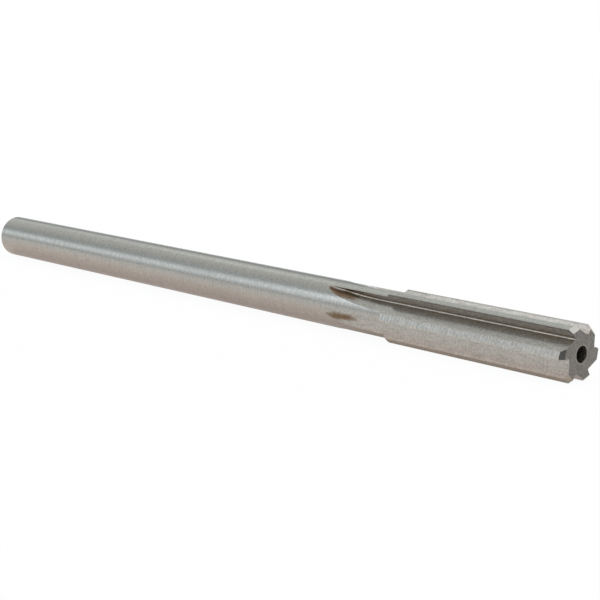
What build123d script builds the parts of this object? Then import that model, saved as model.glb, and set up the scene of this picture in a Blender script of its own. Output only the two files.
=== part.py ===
from build123d import *
import math
import os

# A straight-shank chucking reamer with straight flutes, ground from one bar of tool steel.
# It lies along X as it rests on a bench: cutting end towards +X, +Z up, in millimetres.
# The origin is the middle of its box in X and Y, on the surface that it lies on.

# Lengths along the axis
overall_length = 203.2
head_length = 50.8                # from the cutting face to the foot of the rear bevel
flute_level_length = 51.8         # level part of a flute, from the cutting face

# Diameters
cutting_diameter = 12.7
shank_diameter = 11.06
root_diameter = 8.1               # circle that the flute corners reach

# Teeth and flutes
tooth_count = 6
land_angle = 15.0                 # how far a land reaches round the axis, degrees
margin_width = 0.4                # round strip left behind each cutting edge
heel_drop = 0.2                   # fall of the land from its margin to its heel
flute_corner_radius = 0.3         # rounded corner of the flute wheel
flute_wheel_diameter = 203.2      # wheel whose arc each flute runs out on

# Ends of the head and of the shank
chamfer_length = 0.85             # cutting chamfer, measured along the axis
chamfer_angle = 45.0
chamfer_relief_angle = 10.0
head_bevel_angle = 45.0           # slope down from the head to the shank, from the axis
shank_chamfer = 0.4

# Centre hole at each end, on which the reamer turns while it is ground
centre_hole_diameter = 3.4
centre_hole_depth = 6.0
centre_mouth_diameter = 3.6
centre_cone_angle = 60.0
drill_point_angle = 118.0

# How far a cut starts and ends clear of the metal
cut_clearance = 2.0

cutting_radius = cutting_diameter / 2
shank_radius = shank_diameter / 2
root_radius = root_diameter / 2
heel_radius = cutting_radius - heel_drop
wheel_radius = flute_wheel_diameter / 2
pitch_angle = 360 / tooth_count
open_radius = cutting_radius + cut_clearance

front_x = overall_length / 2
back_x = -front_x
head_foot_x = front_x - head_length
head_back_x = head_foot_x + (cutting_radius - shank_radius) / math.tan(math.radians(head_bevel_angle))
flute_level_end_x = front_x - flute_level_length


def around(radius, angle):
    """Point of a cross-section at a radius and an angle in degrees."""
    return Vector(radius * math.cos(math.radians(angle)), radius * math.sin(math.radians(angle)))


# The head rests on the heel of one land and on the next cutting edge.
# The teeth are rolled about the axis until those two lie level.
heel_foot = around(heel_radius, -land_angle)
edge_foot = around(cutting_radius, -pitch_angle)
foot_line = heel_foot - edge_foot
tooth_roll = -math.degrees(math.atan2(foot_line.Y, foot_line.X))
axis_height = (edge_foot.X * heel_foot.Y - edge_foot.Y * heel_foot.X) / foot_line.length


def tooth_plane(x):
    """Cross-section plane at x with its own X along the rake of a tooth standing along +Y."""
    return Plane(origin=(x, 0, 0), x_dir=(0, 1, 0), z_dir=(1, 0, 0))


def each_tooth(cut):
    """The cut of one tooth, repeated round the axis."""
    return [Rot(X=tooth_roll + number * pitch_angle) * cut for number in range(tooth_count)]


def blank():
    """Head and shank turned from the bar, before any tooth is ground."""
    outline = Polyline(
        (back_x, 0),
        (back_x, shank_radius - shank_chamfer),
        (back_x + shank_chamfer, shank_radius),
        (head_foot_x, shank_radius),
        (head_back_x, cutting_radius),
        (front_x, cutting_radius),
        (front_x, 0),
        close=True,
    )
    return revolve(make_face(outline), Axis.X)


def flute():
    """Gap in front of one tooth: level along the head, then out on the arc of the wheel."""
    previous_heel = around(heel_radius, pitch_angle - land_angle)
    floor_slope = (previous_heel.X - root_radius) / previous_heel.Y
    floor_reach = cutting_radius
    corner = (root_radius, 0)
    profile = make_face(
        Polyline(
            corner,
            (open_radius, 0),
            (open_radius, floor_reach),
            (root_radius + floor_slope * floor_reach, floor_reach),
            close=True,
        )
    )
    wheel_corner = profile.vertices().sort_by_distance(corner)[0]
    profile = tooth_plane(flute_level_end_x) * fillet(wheel_corner, flute_corner_radius)
    level_cut = extrude(profile, flute_level_length + cut_clearance)
    runout_angle = math.degrees(math.acos(1 - (shank_radius - root_radius) / wheel_radius))
    runout_reach = runout_angle + math.degrees(cut_clearance / wheel_radius)
    wheel_axis = Axis((flute_level_end_x, root_radius + wheel_radius, 0), (0, 0, -1))
    runout_cut = revolve(profile, wheel_axis, runout_reach)
    return level_cut + runout_cut


def land_relief():
    """Sliver ground off one land, so that it falls from the margin to the heel."""
    margin_angle = math.degrees(margin_width / cutting_radius)
    margin_end = around(cutting_radius, -margin_angle)
    heel = around(heel_radius, -land_angle)
    past_heel = heel + (heel - margin_end).normalized() * margin_width
    sliver = make_face(
        Polyline(
            margin_end,
            past_heel,
            around(open_radius, -land_angle - margin_angle),
            around(open_radius, -margin_angle),
            close=True,
        )
    )
    start_x = head_foot_x - cut_clearance
    return extrude(tooth_plane(start_x) * sliver, front_x + cut_clearance - start_x)


def chamfer_facet():
    """Flat ground across the front corner of one tooth, falling away behind the edge."""
    corner = Vector(front_x - chamfer_length, cutting_radius, 0)
    lead = math.radians(chamfer_angle)
    along_edge = Vector(math.cos(lead), -math.sin(lead), 0)
    outward = Vector(math.sin(lead), math.cos(lead), 0).rotate(
        Axis((0, 0, 0), tuple(along_edge)), -chamfer_relief_angle
    )
    facet_plane = Plane(origin=corner, x_dir=along_edge, z_dir=outward)
    facet_length = 2 * (chamfer_length / math.cos(lead) + cut_clearance)
    facet_width = 2 * cutting_radius * math.sin(math.radians(pitch_angle / 2))
    waste = Box(
        facet_length,
        facet_width,
        cut_clearance,
        align=(Align.CENTER, Align.CENTER, Align.MIN),
    )
    return facet_plane * waste


def centre_hole():
    """Drilled hole with a coned mouth and a drill point, opening at x = 0 towards +X."""
    hole_radius = centre_hole_diameter / 2
    mouth_radius = centre_mouth_diameter / 2
    cone_depth = (mouth_radius - hole_radius) / math.tan(math.radians(centre_cone_angle / 2))
    point_depth = hole_radius / math.tan(math.radians(drill_point_angle / 2))
    outline = Polyline(
        (cut_clearance, 0),
        (cut_clearance, mouth_radius),
        (0, mouth_radius),
        (-cone_depth, hole_radius),
        (-centre_hole_depth, hole_radius),
        (-centre_hole_depth - point_depth, 0),
        close=True,
    )
    return revolve(make_face(outline), Axis.X)


def reamer_body():
    """The whole reamer, lying on its teeth."""
    body = blank()
    body -= each_tooth(flute())
    body -= each_tooth(land_relief())
    body -= each_tooth(chamfer_facet())
    body -= Pos(front_x, 0, 0) * centre_hole()
    body -= Pos(back_x, 0, 0) * Rot(Z=180) * centre_hole()
    return Pos(0, 0, axis_height) * body


os.makedirs("parts", exist_ok=True)
export_step(reamer_body(), "parts/reamer_body.step")
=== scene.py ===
import math

import bpy
from mathutils import Euler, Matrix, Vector


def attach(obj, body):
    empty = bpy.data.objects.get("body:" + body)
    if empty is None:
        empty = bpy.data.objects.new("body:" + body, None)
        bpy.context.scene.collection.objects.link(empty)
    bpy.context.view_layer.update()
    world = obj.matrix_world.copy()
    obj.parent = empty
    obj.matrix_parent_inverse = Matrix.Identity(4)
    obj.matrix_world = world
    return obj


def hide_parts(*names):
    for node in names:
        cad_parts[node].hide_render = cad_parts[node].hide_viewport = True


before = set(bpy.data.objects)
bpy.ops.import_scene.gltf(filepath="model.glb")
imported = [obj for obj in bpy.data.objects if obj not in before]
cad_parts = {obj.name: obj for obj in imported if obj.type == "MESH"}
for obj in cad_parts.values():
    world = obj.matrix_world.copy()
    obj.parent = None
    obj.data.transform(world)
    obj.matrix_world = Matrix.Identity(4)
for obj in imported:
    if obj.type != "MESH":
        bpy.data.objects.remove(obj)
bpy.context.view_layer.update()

# The reamer's sizes, in millimetres and degrees, as in the CAD source
MM = 0.001
FRONT = 101.6
BACK = -101.6
HEAD_LENGTH = 50.8
LEVEL_LENGTH = 51.8
CUTTING_RADIUS = 6.35
SHANK_RADIUS = 5.53
ROOT_RADIUS = 4.05
HEEL_RADIUS = 6.15
TEETH = 6
PITCH = 360 / TEETH
LAND_ANGLE = 15.0
MARGIN_WIDTH = 0.4
MARGIN_ANGLE = math.degrees(MARGIN_WIDTH / CUTTING_RADIUS)
CORNER_RADIUS = 0.3
WHEEL_RADIUS = 101.6
CHAMFER_LENGTH = 0.85
CHAMFER_ANGLE = 45.0
CHAMFER_RELIEF = 10.0
SHANK_CHAMFER = 0.4
BORE_RADIUS = 1.7
MOUTH_RADIUS = 1.8
BORE_DEPTH = 6.0
CENTRE_CONE_ANGLE = 60.0
DRILL_POINT_ANGLE = 118.0
MOUTH_CONE_DEPTH = (MOUTH_RADIUS - BORE_RADIUS) / math.tan(math.radians(CENTRE_CONE_ANGLE / 2))
DRILL_POINT_DEPTH = BORE_RADIUS / math.tan(math.radians(DRILL_POINT_ANGLE / 2))

# How finely the section and the length are divided
MARGIN_STEPS = 4
RELIEF_STEPS = 16
LAND_STEPS = MARGIN_STEPS + RELIEF_STEPS
RAKE_STEPS = 8
CORNER_STEPS = 10
FLOOR_STEPS = 14
FLUTE_STEPS = RAKE_STEPS + CORNER_STEPS + FLOOR_STEPS
HEAD_ROWS = 12
BEVEL_ROWS = 3
RUNOUT_ROWS = 36
SHANK_ROWS = 24
BORE_ROWS = 6

# Share of the runout over which the points of its sections go from stepped to evenly spaced
EVEN_SHARE = 0.8

# Part of the runouts' heel edges that gets a painted highlight, from the end of the level flute
HIGHLIGHT_FROM = 4.0
HIGHLIGHT_TO = 12.5

# Coarse grinding marks on the lands: distance along the axis, lean, and wander in radians
MARK_PITCH = 0.95
MARK_SLANT = 0.35
MARK_WANDER = 9.0

# Surfaces of the mesh, each with a finish of its own
FACE, FACET, MARGIN, RELIEF, FLUTE, BEVEL, SHANK, HEEL_HIGHLIGHT, MOUTH, BORE = range(10)


def mix(start, end, share):
    """The value a share of the way from start to end."""
    return start + (end - start) * share


def smooth_step(value):
    """0 below 0, 1 above 1 and a soft rise between."""
    value = min(max(value, 0.0), 1.0)
    return value * value * (3 - 2 * value)


def polar(radius, degrees):
    """Point (a, b) of a section: a along the tooth's rake, b square to it, towards the flute."""
    return radius * math.cos(math.radians(degrees)), radius * math.sin(math.radians(degrees))


# Roll of the teeth and height of the axis, as the reamer rests on a heel and the next edge
heel_foot = polar(HEEL_RADIUS, -LAND_ANGLE)
edge_foot = polar(CUTTING_RADIUS, -PITCH)
foot_step = (heel_foot[0] - edge_foot[0], heel_foot[1] - edge_foot[1])
TOOTH_ROLL = -math.degrees(math.atan2(foot_step[1], foot_step[0]))
AXIS_HEIGHT = (edge_foot[0] * heel_foot[1] - edge_foot[1] * heel_foot[0]) / math.hypot(*foot_step)

# Line of the flute floor, and the rounded corner between it and the rake
next_heel = polar(HEEL_RADIUS, PITCH - LAND_ANGLE)
FLOOR_SLOPE = (next_heel[0] - ROOT_RADIUS) / next_heel[1]
FLOOR_STRETCH = math.hypot(1, FLOOR_SLOPE)
CORNER_HEIGHT = ROOT_RADIUS + CORNER_RADIUS * (FLOOR_SLOPE + FLOOR_STRETCH)
LAST_TURN = math.pi / 2 + math.atan(FLOOR_SLOPE)

# Fall of the chamfer's facets behind the cutting edge
FACET_FALL = math.tan(math.radians(CHAMFER_RELIEF)) / math.cos(math.radians(CHAMFER_ANGLE))

# Where the arc of the grinding wheel leaves the shank
TIP_HEIGHT = math.sqrt((SHANK_RADIUS + CORNER_RADIUS) ** 2 - CORNER_RADIUS**2)
TIP_RISE = TIP_HEIGHT - CORNER_HEIGHT
TIP_REACH = math.sqrt(2 * WHEEL_RADIUS * TIP_RISE - TIP_RISE**2)
TIP_ANGLE = math.degrees(math.atan2(CORNER_RADIUS, TIP_HEIGHT))


class FluteLine:
    """Rake, corner and floor of a flute's section, between the circles of its edge and heel."""

    def __init__(self, edge_radius, heel_radius, rise=0.0):
        self.edge_radius = edge_radius
        self.height = CORNER_HEIGHT + rise
        reach = math.hypot(self.height, CORNER_RADIUS)
        lean = math.atan2(CORNER_RADIUS, self.height)
        edge_turn = self.crossing(reach, edge_radius) - lean
        heel_turn = math.pi - self.crossing(reach, heel_radius) - lean
        self.first_turn = max(0.0, edge_turn)
        self.last_turn = min(LAST_TURN, heel_turn)
        self.rake = max(0.0, edge_radius - self.height)
        self.corner = CORNER_RADIUS * (self.last_turn - self.first_turn)
        self.floor_start = self.on_corner(self.last_turn)
        base = ROOT_RADIUS + rise
        inside = (base * FLOOR_SLOPE) ** 2 - FLOOR_STRETCH**2 * (base**2 - heel_radius**2)
        heel_b = (math.sqrt(max(0.0, inside)) - base * FLOOR_SLOPE) / FLOOR_STRETCH**2
        self.floor = max(0.0, (heel_b - self.floor_start[1]) * FLOOR_STRETCH)
        self.length = self.rake + self.corner + self.floor

    @staticmethod
    def crossing(reach, radius):
        """Turn along the corner's circle at which it crosses a circle about the axis."""
        sine = (reach**2 + CORNER_RADIUS**2 - radius**2) / (2 * CORNER_RADIUS * reach)
        return math.asin(min(max(sine, -1.0), 1.0))

    def on_corner(self, turn):
        return (
            self.height - CORNER_RADIUS * math.sin(turn),
            CORNER_RADIUS - CORNER_RADIUS * math.cos(turn),
        )

    def at(self, length):
        """Point of the line at a length from the edge."""
        if length < self.rake:
            return self.edge_radius - length, 0.0
        length -= self.rake
        if length < self.corner:
            return self.on_corner(self.first_turn + length / CORNER_RADIUS)
        along = (length - self.corner) / FLOOR_STRETCH
        return self.floor_start[0] + FLOOR_SLOPE * along, self.floor_start[1] + along

    def points(self, evenness=0.0):
        """The line's points, from step by step along each part to evenly spaced."""
        places = [self.rake * step / RAKE_STEPS for step in range(RAKE_STEPS)]
        places += [self.rake + self.corner * step / CORNER_STEPS for step in range(CORNER_STEPS)]
        floor_from = self.rake + self.corner
        places += [floor_from + self.floor * step / FLOOR_STEPS for step in range(FLOOR_STEPS + 1)]
        even = [self.length * step / FLUTE_STEPS for step in range(FLUTE_STEPS + 1)]
        return [self.at(mix(place, other, evenness)) for place, other in zip(places, even)]


def head_land():
    """Points of a land on the head, from heel to cutting edge: flat relief, then round margin."""
    heel = polar(HEEL_RADIUS, -LAND_ANGLE)
    margin_end = polar(CUTTING_RADIUS, -MARGIN_ANGLE)
    relief = [
        (mix(heel[0], margin_end[0], step / RELIEF_STEPS), mix(heel[1], margin_end[1], step / RELIEF_STEPS))
        for step in range(RELIEF_STEPS)
    ]
    margin = [
        polar(CUTTING_RADIUS, -MARGIN_ANGLE * (1 - step / MARGIN_STEPS)) for step in range(MARGIN_STEPS + 1)
    ]
    return relief + margin


class Body:
    """Vertices and faces of the reamer, with the surface that each face belongs to."""

    def __init__(self):
        self.places = []
        self.faces = []
        self.surfaces = []

    def vertex(self, x, a, b, tooth=0):
        roll = math.radians(TOOTH_ROLL + PITCH * tooth)
        y = a * math.cos(roll) - b * math.sin(roll)
        z = a * math.sin(roll) + b * math.cos(roll) + AXIS_HEIGHT
        self.places.append((x * MM, y * MM, z * MM))
        return len(self.places) - 1

    def face(self, surface, *corners):
        self.faces.append(corners)
        self.surfaces.append(surface)

    def ring(self, land, flute):
        """Vertices of one section from points (x, a, b) of one land and of the flute before its edge."""
        lands = []
        flutes = []
        for tooth in range(TEETH):
            lands.append([self.vertex(*point, tooth) for point in land])
            flutes.append([self.vertex(*point, tooth) for point in flute])
        return lands, flutes

    def circle(self, x, radius, first_angle=TIP_ANGLE):
        """Vertices all round a circle about the axis."""
        steps = LAND_STEPS * TEETH
        ring = []
        for step in range(steps):
            ring.append(self.vertex(x, *polar(radius, first_angle + 360 * step / steps)))
        return ring

    def tube(self, surface, front, back, towards_back=True):
        """Faces between two circles of as many vertices."""
        for step in range(len(front)):
            after = (step + 1) % len(front)
            corners = (front[step], back[step], back[after], front[after])
            self.face(surface, *(corners if towards_back else corners[::-1]))


body = Body()


def section_flute(line, x_edge, x_heel, evenness=0.0):
    """Inner points (x, a, b) of a flute whose two ends may lie at different places along the axis."""
    points = line.points(evenness)
    last = len(points) - 1
    return [(mix(x_edge, x_heel, step / last), *points[step]) for step in range(1, last)]


def front_row():
    """Section at the cutting face, where the chamfer has cut the lands down."""
    top = CUTTING_RADIUS - CHAMFER_LENGTH
    cosine, sine = polar(1.0, PITCH)
    pull = cosine + FACET_FALL * sine
    across = (top - ROOT_RADIUS * pull) / (FLOOR_SLOPE * pull + sine - FACET_FALL * cosine)
    height = ROOT_RADIUS + FLOOR_SLOPE * across
    heel_radius = math.hypot(height, across)
    heel = polar(heel_radius, math.degrees(math.atan2(across, height)) - PITCH)
    land = [
        (FRONT, mix(heel[0], top, step / LAND_STEPS), mix(heel[1], 0.0, step / LAND_STEPS))
        for step in range(LAND_STEPS + 1)
    ]
    return land, section_flute(FluteLine(top, heel_radius), FRONT, FRONT)


def chamfer_row():
    """Section where the chamfer meets the lands."""
    start = FRONT - CHAMFER_LENGTH
    land = [(start + CUTTING_RADIUS + FACET_FALL * b - a, a, b) for a, b in head_land()]
    return land, section_flute(FluteLine(CUTTING_RADIUS, HEEL_RADIUS), land[-1][0], land[0][0])


def head_row(x):
    """Section of the head between its chamfer and its rear bevel."""
    land = [(x, a, b) for a, b in head_land()]
    return land, section_flute(FluteLine(CUTTING_RADIUS, HEEL_RADIUS), x, x)


def bevel_row(share):
    """Section down the rear bevel, from the lands at 0 to the shank at 1."""
    foot = FRONT - HEAD_LENGTH
    heel_radius = mix(HEEL_RADIUS, SHANK_RADIUS, share)
    edge_radius = mix(CUTTING_RADIUS, SHANK_RADIUS, share)
    line = FluteLine(edge_radius, heel_radius)
    end = line.at(line.length)
    heel_angle = math.degrees(math.atan2(end[1], end[0])) - PITCH
    land = []
    for step, (a, b) in enumerate(head_land()):
        radius = mix(math.hypot(a, b), SHANK_RADIUS, share)
        own = 1 + math.degrees(math.atan2(b, a)) / LAND_ANGLE
        along = mix(own, step / LAND_STEPS, share)
        land.append((foot + radius - SHANK_RADIUS, *polar(radius, heel_angle * (1 - along))))
    return land, section_flute(line, land[-1][0], land[0][0])


def runout_row(reach):
    """Section of the shank where the flutes run out, at a distance past their level part."""
    rise = WHEEL_RADIUS - math.sqrt(WHEEL_RADIUS**2 - reach**2)
    line = FluteLine(SHANK_RADIUS, SHANK_RADIUS, rise)
    edge = line.at(0.0)
    end = line.at(line.length)
    edge_angle = math.degrees(math.atan2(edge[1], edge[0]))
    heel_angle = math.degrees(math.atan2(end[1], end[0])) - PITCH
    x = FRONT - LEVEL_LENGTH - reach
    land = [
        (x, *polar(SHANK_RADIUS, mix(heel_angle, edge_angle, step / LAND_STEPS)))
        for step in range(LAND_STEPS + 1)
    ]
    return land, section_flute(line, x, x, smooth_step(reach / (TIP_REACH * EVEN_SHARE)))


def join(front, back, land_surface, flute_surface):
    """Faces between two sections; land_surface gives the surface of each step of a land."""
    for tooth in range(TEETH):
        after = (tooth + 1) % TEETH
        columns = []
        for lands, flutes in (front, back):
            columns.append(lands[tooth] + flutes[tooth] + [lands[after][0]])
        for step in range(LAND_STEPS + FLUTE_STEPS):
            surface = land_surface(step) if step < LAND_STEPS else flute_surface
            body.face(
                surface, columns[0][step], columns[1][step], columns[1][step + 1], columns[0][step + 1]
            )


def head_surface(step):
    return RELIEF if step < RELIEF_STEPS else MARGIN


def runout_surface(step):
    return SHANK


# In the runouts the land's first step, by the heel edge, carries the painted highlight
def highlighted_surface(step):
    return HEEL_HIGHLIGHT if step == 0 else SHANK


# Head and runouts, from the cutting face back, with sections closer together towards the flute tips
rows = [(front_row(), None), (chamfer_row(), lambda step: FACET)]
head_end = FRONT - HEAD_LENGTH + CUTTING_RADIUS - SHANK_RADIUS
for number in range(1, HEAD_ROWS):
    rows.append((head_row(mix(FRONT - CHAMFER_LENGTH, head_end, number / HEAD_ROWS)), head_surface))
rows.append((bevel_row(0.0), head_surface))
for number in range(1, BEVEL_ROWS + 1):
    rows.append((bevel_row(number / BEVEL_ROWS), lambda step: BEVEL))
for number in range(RUNOUT_ROWS):
    reach = TIP_REACH * (1 - (1 - number / RUNOUT_ROWS) ** 2)
    highlighted = HIGHLIGHT_FROM < reach < HIGHLIGHT_TO
    rows.append((runout_row(reach), highlighted_surface if highlighted else runout_surface))
sections = [body.ring(*points) for points, _ in rows]
for number in range(1, len(sections)):
    join(sections[number - 1], sections[number], rows[number][1], FLUTE)

# Cutting face: one flat face to each tooth, between cuts from the flute corners to the centre hole
face_lands, face_flutes = sections[0]
level_line = FluteLine(CUTTING_RADIUS, HEEL_RADIUS)
cut_step = RAKE_STEPS + CORNER_STEPS - 1
cut_a, cut_b = level_line.points()[cut_step]
cut_angle = math.degrees(math.atan2(cut_b, cut_a))
front_mouth = body.circle(FRONT, MOUTH_RADIUS, cut_angle)
for tooth in range(TEETH):
    before = (tooth - 1) % TEETH
    outline = face_flutes[before][cut_step - 1 :] + face_lands[tooth] + face_flutes[tooth][:cut_step]
    first = (tooth - 1) * LAND_STEPS
    inner = [front_mouth[(first + step) % len(front_mouth)] for step in range(LAND_STEPS + 1)]
    body.face(FACE, *outline, *reversed(inner))

# Tips of the flutes, where the last open section closes on one point of each
tip_x = FRONT - LEVEL_LENGTH - TIP_REACH
tip_ring = body.circle(tip_x, SHANK_RADIUS)
open_lands, open_flutes = sections[-1]
for tooth in range(TEETH):
    after = (tooth + 1) % TEETH
    first = (tooth - 1) * LAND_STEPS
    for step in range(LAND_STEPS):
        near = tip_ring[(first + step) % len(tip_ring)]
        far = tip_ring[(first + step + 1) % len(tip_ring)]
        body.face(SHANK, open_lands[tooth][step], near, far, open_lands[tooth][step + 1])
    tip = tip_ring[(tooth * LAND_STEPS) % len(tip_ring)]
    column = [open_lands[tooth][-1]] + open_flutes[tooth] + [open_lands[after][0]]
    for step in range(FLUTE_STEPS):
        body.face(FLUTE, column[step], tip, column[step + 1])

# Plain shank, its rear chamfer and its end
previous = tip_ring
for number in range(1, SHANK_ROWS + 1):
    ring = body.circle(mix(tip_x, BACK + SHANK_CHAMFER, number / SHANK_ROWS), SHANK_RADIUS)
    body.tube(SHANK, previous, ring)
    previous = ring
rear_ring = body.circle(BACK, SHANK_RADIUS - SHANK_CHAMFER)
body.tube(BEVEL, previous, rear_ring)
rear_mouth = body.circle(BACK, MOUTH_RADIUS)
body.tube(FACE, rear_ring, rear_mouth)


def centre_hole(mouth, x, inward, first_angle, towards_back):
    """Coned mouth, drilled wall and drill point of a centre hole."""
    ring = body.circle(x + inward * MOUTH_CONE_DEPTH, BORE_RADIUS, first_angle)
    body.tube(MOUTH, mouth, ring, towards_back)
    for number in range(1, BORE_ROWS + 1):
        depth = mix(MOUTH_CONE_DEPTH, BORE_DEPTH, number / BORE_ROWS)
        deeper = body.circle(x + inward * depth, BORE_RADIUS, first_angle)
        body.tube(BORE, ring, deeper, towards_back)
        ring = deeper
    tip = body.vertex(x + inward * (BORE_DEPTH + DRILL_POINT_DEPTH), 0.0, 0.0)
    for step in range(len(ring)):
        corners = (ring[step], tip, ring[(step + 1) % len(ring)])
        body.face(BORE, *(corners if towards_back else corners[::-1]))


centre_hole(front_mouth, FRONT, -1, cut_angle, False)
centre_hole(rear_mouth, BACK, 1, TIP_ANGLE, True)

mesh = bpy.data.meshes.new("reamer")
mesh.from_pydata(body.places, [], body.faces)
mesh.validate()
piece = bpy.data.objects.new("reamer", mesh)
bpy.context.collection.objects.link(piece)
for polygon, surface in zip(mesh.polygons, body.surfaces):
    polygon.use_smooth = True
    polygon.material_index = surface

# Edges between two surfaces are sharp
edge_surfaces = {}
for polygon in mesh.polygons:
    for key in polygon.edge_keys:
        edge_surfaces.setdefault(key, set()).add(polygon.material_index)
for edge in mesh.edges:
    edge.use_edge_sharp = len(edge_surfaces[edge.key]) > 1


class Nodes:
    """Builds a node tree; an input that is given an output socket is linked to it."""

    def __init__(self, tree):
        self.tree = tree
        tree.nodes.clear()

    def add(self, kind, inputs=None, **settings):
        node = self.tree.nodes.new(kind)
        for name, value in settings.items():
            setattr(node, name, value)
        for key, value in (inputs or {}).items():
            if isinstance(value, bpy.types.NodeSocket):
                self.tree.links.new(value, node.inputs[key])
            else:
                node.inputs[key].default_value = value
        return node

    def maths(self, operation, *values):
        return self.add("ShaderNodeMath", dict(enumerate(values)), operation=operation).outputs[0]

    def product(self, first, *others):
        result = first
        for value in others:
            result = self.maths("MULTIPLY", result, value)
        return result

    def ranged(self, value, low, high, to_low=0.0, to_high=1.0, interpolation="LINEAR"):
        """The value taken from the range low to high to another range, and held at its ends."""
        inputs = {"Value": value, 1: low, 2: high, 3: to_low, 4: to_high}
        return self.add("ShaderNodeMapRange", inputs, interpolation_type=interpolation).outputs[0]

    def eased(self, *values):
        """As ranged, with soft ends."""
        return self.ranged(*values, interpolation="SMOOTHSTEP")

    def blend(self, share, first, second, mode="MIX"):
        inputs = {0: share, 6: first, 7: second}
        return self.add("ShaderNodeMix", inputs, data_type="RGBA", blend_type=mode).outputs[2]

    def place(self):
        """The surface point in millimetres, with z from the reamer's axis, and its x, y and z."""
        point = self.add("ShaderNodeTexCoord").outputs["Object"]
        scaled = self.add(
            "ShaderNodeVectorMath",
            {0: point, 1: (1 / MM, 1 / MM, 1 / MM), 2: (0.0, 0.0, -AXIS_HEIGHT)},
            operation="MULTIPLY_ADD",
        ).outputs[0]
        return scaled, self.add("ShaderNodeSeparateXYZ", {0: scaled}).outputs

    def radius(self, axes):
        """Distance from the reamer's axis."""
        squares = [self.maths("POWER", axes[number], 2.0) for number in (1, 2)]
        return self.maths("SQRT", self.maths("ADD", *squares))

    def noise(self, point, scale, detail=2.0, roughness=0.5):
        """Noise from 0 to 1, with its own scale along each axis, in cycles per millimetre."""
        spread = self.add("ShaderNodeVectorMath", {0: point, 1: scale}, operation="MULTIPLY").outputs[0]
        inputs = {"Vector": spread, "Scale": 1.0, "Detail": detail, "Roughness": roughness}
        return self.add("ShaderNodeTexNoise", inputs).outputs["Fac"]

    def swing(self, noise):
        """Noise stretched to run from -1 to 1."""
        return self.ranged(noise, 0.3, 0.7, -1.0, 1.0)


def shade(value, warmth=0.06):
    """A steel grey of some brightness; warmth makes it redder and less blue."""
    return (value * (1 + 0.7 * warmth), value, value * (1 - warmth), 1.0)


def tones(level, grain, warmth=0.06):
    """The dark and the bright colour of steel that is some level of grey, with some grain."""
    return shade(level * (1 - grain), warmth), shade(level * (1 + grain), warmth)


def coarse_marks(nodes, point, axes):
    """Slanted marks across a land, and how much they show: most on the near side, towards the rear."""
    wander = nodes.noise(point, (0.25, 0.3, 0.3))
    slanted = nodes.maths("MULTIPLY_ADD", axes[2], -MARK_SLANT, axes[0])
    drift = nodes.product(wander, MARK_WANDER)
    turn = nodes.maths("MULTIPLY_ADD", slanted, 2 * math.pi / MARK_PITCH, drift)
    patchy = nodes.ranged(nodes.noise(point, (0.1, 0.4, 0.4)), 0.35, 0.65, 0.03, 0.1)
    worn = nodes.product(nodes.ranged(axes[1], -4.5, -5.5), nodes.ranged(axes[0], 74, 54, 0.02, 0.17))
    return nodes.maths("SINE", turn), nodes.maths("ADD", patchy, worn)


def steel(name, colours, roughness, lines, depth, anisotropy=0.0, marked=False, tint=None):
    """Ground steel of a dark and a bright colour, with coarse marks where it is marked.

    The lines are the scale of the fine grinding lines along each axis, and the depth is theirs in
    microns. The tint is a function that changes the colour from place to place.
    """
    material = bpy.data.materials.new(name)
    material.use_nodes = True
    nodes = Nodes(material.node_tree)
    point, axes = nodes.place()
    fine = nodes.noise(point, lines, 4.0, 0.65)
    streak = nodes.swing(fine)
    speck = nodes.swing(nodes.noise(point, (2.0, 2.0, 2.0)))
    cloud = nodes.swing(nodes.noise(point, (0.3, 0.35, 0.35)))
    share = 0.5
    for grain, weight in ((streak, 0.2), (speck, 0.3), (cloud, 0.05)):
        share = nodes.maths("MULTIPLY_ADD", grain, weight, share)
    relief = fine
    if marked:
        mark, strength = coarse_marks(nodes, point, axes)
        share = nodes.maths("MULTIPLY_ADD", mark, strength, share)
        relief = nodes.maths("MULTIPLY_ADD", mark, 0.3, fine)
    colour = nodes.blend(share, *colours)
    if tint:
        colour = tint(nodes, point, axes, colour)
    shine = nodes.ranged(streak, -1.0, 1.0, roughness * 1.15, roughness * 0.85)
    bump = nodes.add("ShaderNodeBump", {"Strength": 1.0, "Distance": depth * 1e-6, "Height": relief})
    shader = nodes.add(
        "ShaderNodeBsdfPrincipled",
        {
            "Base Color": colour,
            "Metallic": 1.0,
            "Roughness": shine,
            "Normal": bump.outputs[0],
            "Anisotropic": anisotropy,
        },
    )
    if anisotropy:
        tangent = nodes.add("ShaderNodeTangent", direction_type="RADIAL", axis="X")
        nodes.tree.links.new(tangent.outputs[0], shader.inputs["Tangent"])
    nodes.add("ShaderNodeOutputMaterial", {"Surface": shader.outputs[0]})
    return material


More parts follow.
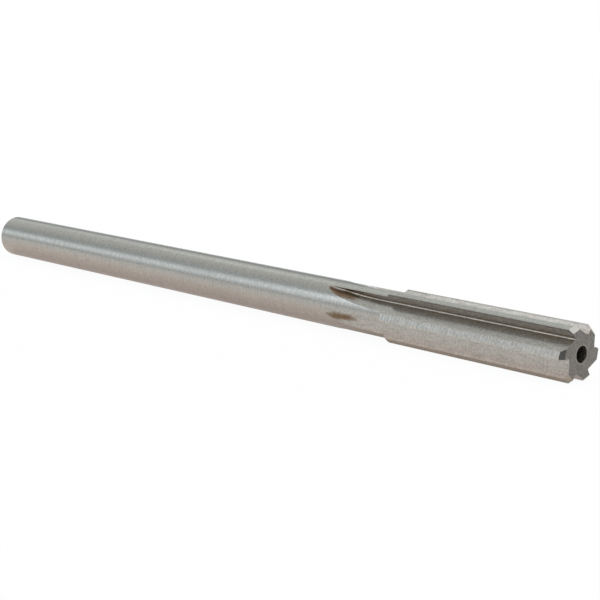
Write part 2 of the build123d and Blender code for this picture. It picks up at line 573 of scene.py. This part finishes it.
def burn_and_painted_shade(nodes, point, axes, colour):
    """Dull brown rakes, painted shade at their roots and along the flute corners, painted light on the
    floors' outer edges, and the burnt patches where the grinding wheel ran out of each flute.
    """
    # Place in the flute: across from its rake and back from the cutting face, with some wander.
    # The spare angle keeps points just behind the rake from counting to the other side of the tooth.
    spare = math.radians(3)
    roll = nodes.maths("ARCTAN2", axes[2], axes[1])
    turn = nodes.maths("SUBTRACT", roll, math.radians(TOOTH_ROLL) - 2 * math.pi - spare)
    within = nodes.maths("SUBTRACT", nodes.maths("MODULO", turn, math.radians(PITCH)), spare)
    radius = nodes.radius(axes)
    across = nodes.product(radius, nodes.maths("SINE", within))
    wander = nodes.swing(nodes.noise(point, (0.4, 0.8, 0.8), 3.0))
    off = nodes.maths("MULTIPLY_ADD", wander, 0.2, across)
    past = nodes.maths("MULTIPLY_ADD", wander, 0.9, nodes.maths("SUBTRACT", FRONT, axes[0]))

    # The upper flute of the near side is burnt most, and the flutes that face away least
    heavy = nodes.ranged(roll, 1.95, 2.15)
    heat = nodes.ranged(nodes.maths("ABSOLUTE", roll), 1.9, 2.15, 0.2, 1.0)

    # Rake with its root, darkened as painted shade, and its lip; painted shade along the corner between
    # rake and floor; and painted light on the floor's outer edge at the next heel
    on_rake = nodes.ranged(across, 0.06, 0.02)
    dull = nodes.product(on_rake, nodes.ranged(past, 64.0, 57.0))
    # Painted shade: the rake darker towards its root
    root_painted_shade = nodes.product(dull, nodes.ranged(radius, 5.7, 4.3))
    lip = nodes.product(on_rake, nodes.eased(radius, 5.9, 6.2))
    # Painted shade along the corner between rake and floor, reaching the flute's tip in the most burnt
    # flute
    corner_shade_end = nodes.maths("MAXIMUM", heavy, nodes.ranged(past, 64.0, 58.0))
    corner_painted_shade = nodes.product(nodes.ranged(across, -0.25, 0.2), nodes.eased(across, 0.7, 0.4), corner_shade_end)
    # Painted light: the floor lighter along its outer edge by the next heel
    edge_painted_light = nodes.product(nodes.ranged(across, 2.5, 3.5), nodes.eased(radius, 5.65, 5.95))

    # Brown patch on the floor, its halo towards the tip, and a wedge on the rake
    middle = nodes.ranged(heavy, 0.0, 1.0, 1.33, 1.42)
    off_middle = nodes.maths("ABSOLUTE", nodes.maths("SUBTRACT", off, middle))
    aside = nodes.maths("MULTIPLY_ADD", heavy, -0.22, off_middle)
    core = nodes.product(nodes.eased(aside, 1.05, 0.25), nodes.eased(past, 57.4, 61.8, 0.0, 0.96))
    halo_depth = nodes.ranged(heavy, 0.0, 1.0, 0.3, 0.75)
    halo_start = nodes.ranged(nodes.maths("MULTIPLY_ADD", heavy, 0.5, off), 0.4, 1.0)
    halo = nodes.product(halo_start, nodes.eased(past, 60.5, 65.0, 0.0, halo_depth))
    fade = nodes.eased(nodes.maths("MULTIPLY_ADD", heavy, -1.4, past), 70.0, 65.0)
    brown = nodes.product(nodes.maths("MAXIMUM", core, halo), fade)
    wedge_rise = nodes.ranged(past, 51.5, 54.5, 0.0, 0.35)
    wedge = nodes.product(on_rake, wedge_rise, nodes.ranged(past, 61.0, 57.0))
    burnt = nodes.product(nodes.maths("MAXIMUM", brown, wedge), heat)

    # Black beside the corner of the most burnt flute, darkest towards its tip
    scorched = nodes.product(fade, heavy)
    black_width = nodes.product(nodes.eased(off, 0.05, 0.4), nodes.eased(off, 1.7, 0.9))
    black = nodes.product(black_width, nodes.eased(past, 56.8, 60.2), scorched)
    tip_width = nodes.product(nodes.eased(off, 0.1, 0.4), nodes.eased(off, 1.3, 0.8))
    tip = nodes.product(tip_width, nodes.eased(past, 61.5, 65.0), scorched)

    # Burnt patches, with painted shade at the rake's root and along the corner and painted light on the
    # floor's outer edge, each multiplied into the colour
    stains_and_painted_light = (
        (dull, (0.86, 0.81, 0.77)),
        (root_painted_shade, (0.75, 0.7, 0.64)),
        (lip, (0.73, 0.73, 0.73)),
        (corner_painted_shade, (0.79, 0.76, 0.72)),
        (edge_painted_light, (1.14, 1.13, 1.12)),
        (burnt, (0.4, 0.27, 0.17)),
        (black, (0.54, 0.44, 0.36)),
        (tip, (0.66, 0.6, 0.56)),
    )
    for share, factor in stains_and_painted_light:
        colour = nodes.blend(share, colour, (*factor, 1.0), "MULTIPLY")
    return colour


def mouth_ring_highlight(nodes, point, axes, colour):
    """Thin bright ring round the centre hole: a painted highlight."""
    # Painted highlight: brighter steel on the end face right round the hole's mouth
    ring = nodes.eased(nodes.radius(axes), MOUTH_RADIUS + 0.3, MOUTH_RADIUS + 0.1)
    return nodes.blend(nodes.product(ring, 0.7), colour, shade(0.33))


# Scales of grinding lines that run round the shank, along the flutes and across the lands
ROUND = (2.1, 0.3, 0.3)
ALONG = (0.3, 1.8, 1.8)
ACROSS = (1.6, 0.25, 0.25)

# Finish of each surface: name, colours, roughness, and the scale and depth of its grinding lines
finishes = {
    # End face: steel about half as bright as the rest, as painted shade
    FACE: steel("ground_face_painted_shade", tones(0.206, 0.35, 0.0), 0.4, (1.0, 2.5, 2.5), 2.0, tint=mouth_ring_highlight),
    FACET: steel("ground_facet", tones(0.42, 0.1), 0.1, ACROSS, 0.5),
    MARGIN: steel("ground_margin", tones(0.445, 0.2), 0.2, ACROSS, 1.0, marked=True),
    RELIEF: steel("ground_land", tones(0.422, 0.23), 0.25, ACROSS, 1.5, marked=True),
    # The flutes' tint adds burnt patches, painted shade and painted light
    FLUTE: steel("ground_flute", tones(0.4, 0.28), 0.22, ALONG, 0.7, tint=burn_and_painted_shade),
    BEVEL: steel("ground_bevel", tones(0.39, 0.2), 0.25, ROUND, 1.0),
    SHANK: steel("ground_shank", tones(0.407, 0.19), 0.23, ROUND, 0.7, anisotropy=0.7),
    # Painted highlight: brighter steel along the runouts' heel edges
    HEEL_HIGHLIGHT: steel("painted_heel_highlight", tones(0.56, 0.1), 0.25, ROUND, 0.7, anisotropy=0.7),
    # Painted shade: the coned mouth nearly black, to read as part of the hole's dark opening
    MOUTH: steel("coned_mouth_painted_shade", tones(0.1, 0.15), 0.3, ROUND, 0.5),
    # Dark bore whose strong specks are painted glints
    BORE: steel("dark_bore_painted_glints", tones(0.25, 1.0), 0.5, (2.0, 2.0, 2.0), 60.0),
}
for surface in range(len(finishes)):
    mesh.materials.append(finishes[surface])

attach(piece, "root")
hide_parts("reamer_body")


def pale_floor():
    """White floor that keeps a faint shadow; in the steel it shows warm, with painted shade near the reamer
    and a painted shadow where the head touches.
    """
    material = bpy.data.materials.new("pale_floor")
    material.use_nodes = True
    nodes = Nodes(material.node_tree)
    matte = nodes.add("ShaderNodeBsdfDiffuse", {"Color": (1.0, 0.89, 0.81, 1.0)})
    position = nodes.add("ShaderNodeNewGeometry").outputs["Position"]
    spot = nodes.add("ShaderNodeSeparateXYZ", {0: position}).outputs

    # Painted shadow: a dark strip where the head touches; and the open floor on the near side, clear of the
    # painted shade near the reamer
    off_foot = nodes.maths("ABSOLUTE", nodes.maths("ADD", spot[1], 2.8 * MM))
    under_head = nodes.eased(spot[0], 32 * MM, 50 * MM)
    head_painted_shadow = nodes.product(under_head, nodes.eased(off_foot, 2.8 * MM, 1.2 * MM))
    beyond = nodes.eased(spot[1], -8 * MM, -18 * MM)

    # Colour in reflections, warmer near the reamer and in the painted shadow under the head, and white for
    # the camera
    far_side = nodes.ranged(spot[1], 2 * MM, 8 * MM)
    colour = nodes.blend(far_side, (1.0, 0.89, 0.85, 1.0), (1.0, 0.957, 0.9, 1.0))
    colour = nodes.blend(beyond, colour, (0.96, 1.0, 1.0, 1.0))
    colour = nodes.blend(head_painted_shadow, colour, (1.0, 0.86, 0.75, 1.0))
    ray = nodes.add("ShaderNodeLightPath").outputs
    colour = nodes.blend(ray["Is Camera Ray"], colour, (1.0, 1.005, 1.01, 1.0))
    white = nodes.add("ShaderNodeEmission", {"Color": colour, "Strength": 1.0})

    # Share of its own white, which is most for the camera, so that only a faint shadow is left; in
    # reflections it is less near the reamer and least in the painted shadow under the head
    seen = nodes.maths("MAXIMUM", ray["Is Camera Ray"], ray["Is Glossy Ray"])
    seen = nodes.maths("MAXIMUM", seen, ray["Is Transmission Ray"])
    glow = nodes.ranged(beyond, 0.0, 1.0, 0.45, 0.65)
    glow = nodes.product(seen, nodes.maths("SUBTRACT", glow, nodes.product(head_painted_shadow, 0.18)))
    glow = nodes.maths("MAXIMUM", glow, nodes.product(ray["Is Camera Ray"], 0.95))
    both = nodes.add("ShaderNodeMixShader", {0: glow, 1: matte.outputs[0], 2: white.outputs[0]})
    nodes.add("ShaderNodeOutputMaterial", {"Surface": both.outputs[0]})
    return material


bpy.ops.mesh.primitive_plane_add(size=8.0, location=(0, 0, 0))
floor = bpy.context.active_object
floor.name = "floor"
floor.data.materials.append(pale_floor())

# Studio: long soft lights that lie along the reamer, one row for its head and one for its shank
world = bpy.data.worlds.new("studio")
bpy.context.scene.world = world
world.use_nodes = True
sky = Nodes(world.node_tree)
toward = sky.add("ShaderNodeTexCoord").outputs["Generated"]
heading = sky.add("ShaderNodeSeparateXYZ", {0: toward}).outputs
light_roll = sky.maths("ARCTAN2", sky.maths("ABSOLUTE", heading[2]), heading[1])
roll_share = sky.ranged(light_roll, 0.0, math.pi)


def tinted(brightness, tint):
    return brightness * tint[0], brightness * tint[1], brightness * tint[2], 1.0


def lights(*stops):
    """Ramp of light from stops of (roll, brightness, tint).

    A roll of 0 is the far horizon, 90 is overhead and 180 is the near horizon.
    """
    ramp = sky.add("ShaderNodeValToRGB", {0: roll_share})
    ramp.color_ramp.interpolation = "EASE"
    elements = ramp.color_ramp.elements
    while len(elements) < len(stops):
        elements.new(0.5)
    for element, (roll, brightness, tint) in zip(elements, stops):
        element.position = roll / 180
        element.color = tinted(brightness, tint)
    return ramp.outputs[0]


def patch(light, azimuth, elevation, inner, outer, brightness, tint):
    """The light with a round patch of another brightness in one direction.

    The patch is full within the inner angle and fades out at the outer one. Angles are in degrees.
    """
    flat = math.cos(math.radians(elevation))
    centre = (
        flat * math.cos(math.radians(azimuth)),
        flat * math.sin(math.radians(azimuth)),
        math.sin(math.radians(elevation)),
    )
    near = sky.add("ShaderNodeVectorMath", {0: toward, 1: centre}, operation="DOT_PRODUCT").outputs["Value"]
    share = sky.eased(near, math.cos(math.radians(outer)), math.cos(math.radians(inner)))
    return sky.blend(share, light, tinted(brightness, tint))


FAR_TINT = (0.93, 1.0, 0.985)
TOP_TINT = (0.965, 1.0, 0.985)
COOL_TINT = (0.9, 1.0, 1.05)
WARM_TINT = (1.04, 0.92, 0.87)
PALE_TINT = (0.955, 1.0, 1.0)
far_lights = (
    (12, 0.9, FAR_TINT),
    (20, 0.45, FAR_TINT),
    (31, 0.3, FAR_TINT),
    (37, 0.35, FAR_TINT),
)
head_lights = lights(
    *far_lights,
    (44, 0.88, FAR_TINT),
    (56, 1.0, FAR_TINT),
    (72, 0.68, TOP_TINT),
    (90, 0.7, TOP_TINT),
    (122, 0.62, TOP_TINT),
    (145, 0.6, WARM_TINT),
    (157, 0.45, WARM_TINT),
    (166, 1.21, PALE_TINT),
    (174, 0.76, COOL_TINT),
    (178, 0.45, COOL_TINT),
)
shank_lights = lights(
    *far_lights,
    (44, 0.75, FAR_TINT),
    (56, 1.0, FAR_TINT),
    (70, 0.83, TOP_TINT),
    (92, 0.8, TOP_TINT),
    (122, 0.62, FAR_TINT),
    (135, 0.5, (0.88, 1.0, 1.07)),
    (144.5, 1.02, COOL_TINT),
    (152.5, 1.46, COOL_TINT),
    (165, 1.24, COOL_TINT),
    (175, 0.55, COOL_TINT),
    (178, 0.2, COOL_TINT),
)
light = sky.blend(sky.eased(heading[0], -0.655, -0.675), head_lights, shank_lights)

# White beyond the reamer and at its ends, down to the edge of the floor
low = sky.eased(heading[2], math.sin(math.radians(6)), math.sin(math.radians(3)))
horizon = sky.product(low, sky.eased(heading[1], -0.15, 0.15))
light = sky.blend(horizon, light, (1.0, 1.0, 1.0, 1.0))

# Overhead light, three smaller lights, and a dark card about the camera for the near chamfer facets
light = patch(light, 0, 90, 15, 38, 1.6, TOP_TINT)
light = patch(light, 161, 39, 1, 6, 1.25, TOP_TINT)
light = patch(light, -131, 28, 7, 11, 2.42, (0.9, 1.0, 1.09))
light = patch(light, 44, 53, 10, 22, 1.35, TOP_TINT)
light = patch(light, -38, 7, 10, 18, 0.12, (0.9, 1.0, 1.0))
background = sky.add("ShaderNodeBackground", {"Color": light, "Strength": 1.0})
sky.add("ShaderNodeOutputWorld", {"Surface": background.outputs[0]})

# Camera at the photograph's place and angle
camera_data = bpy.data.cameras.new("camera")
camera_data.lens = 92.9
camera_data.sensor_width = 36
camera_data.clip_start = 0.01
camera_data.clip_end = 100
camera = bpy.data.objects.new("camera", camera_data)
bpy.context.collection.objects.link(camera)
camera.location = Vector((281.876, -250.379, 64.786)) * MM
camera_turn = (80.5703, -2.3031, 46.7112)
camera.rotation_euler = Euler([math.radians(angle) for angle in camera_turn], "XYZ")
bpy.context.scene.camera = camera
bpy.context.scene.view_settings.view_transform = "Standard"

bpy.context.view_layer.update()
